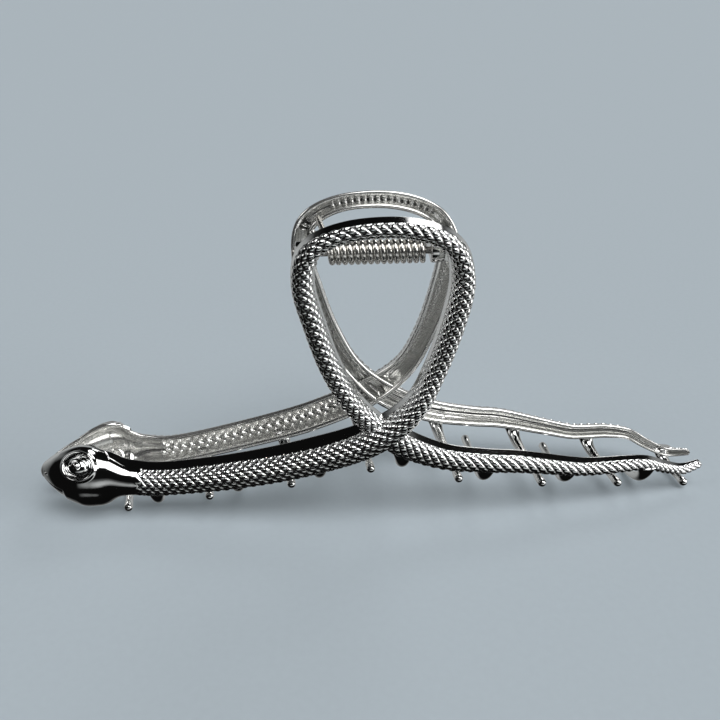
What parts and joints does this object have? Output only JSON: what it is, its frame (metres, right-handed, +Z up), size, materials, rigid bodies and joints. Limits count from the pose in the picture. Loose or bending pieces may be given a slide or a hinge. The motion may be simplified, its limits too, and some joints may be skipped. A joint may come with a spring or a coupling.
{
  "type": "claw hair clip",
  "caption": "Plated metal claw hair clip in the shape of two mirrored snakes, with interlacing teeth, a ribbon-loop finger grip and a sprung hinge.",
  "frame": {"origin": "centre of the overall box at the level of the lowest tooth tips, with the clip closed and standing on its teeth", "axes": "+X along the clip from the heads to the tail tips, +Y from the front jaw to the back jaw, +Z up from the teeth to the finger grips; the hinge pin lies along X"},
  "size_m": [0.112, 0.022, 0.0502],
  "materials": {
    "plated_casting": "bright nickel plate on a zinc casting",
    "pin_steel": "bright drawn steel",
    "spring_steel": "nickel-plated spring wire"
  },
  "bodies": {
    "back_jaw": {"back_head": "plated_casting", "back_body": "plated_casting", "back_right_arm": "plated_casting", "back_grip": "plated_casting", "back_left_arm": "plated_casting", "back_tail": "plated_casting", "back_teeth": "plated_casting", "back_lugs": "plated_casting", "hinge_pin": "pin_steel", "torsion_spring": "spring_steel"},
    "front_jaw": {"front_head": "plated_casting", "front_body": "plated_casting", "front_right_arm": "plated_casting", "front_grip": "plated_casting", "front_left_arm": "plated_casting", "front_tail": "plated_casting", "front_teeth": "plated_casting", "front_lugs": "plated_casting"}
  },
  "joints": [
    {"name": "jaw_hinge", "type": "hinge", "parent": "back_jaw", "child": "front_jaw", "pos_m": [0, 0, 0.0427], "axis": [-1, 0, 0], "range_deg": [0, 65], "stiffness_Nm_per_rad": 0.074, "springref_deg": -85.94, "deforming": ["torsion_spring"]}
  ]
}
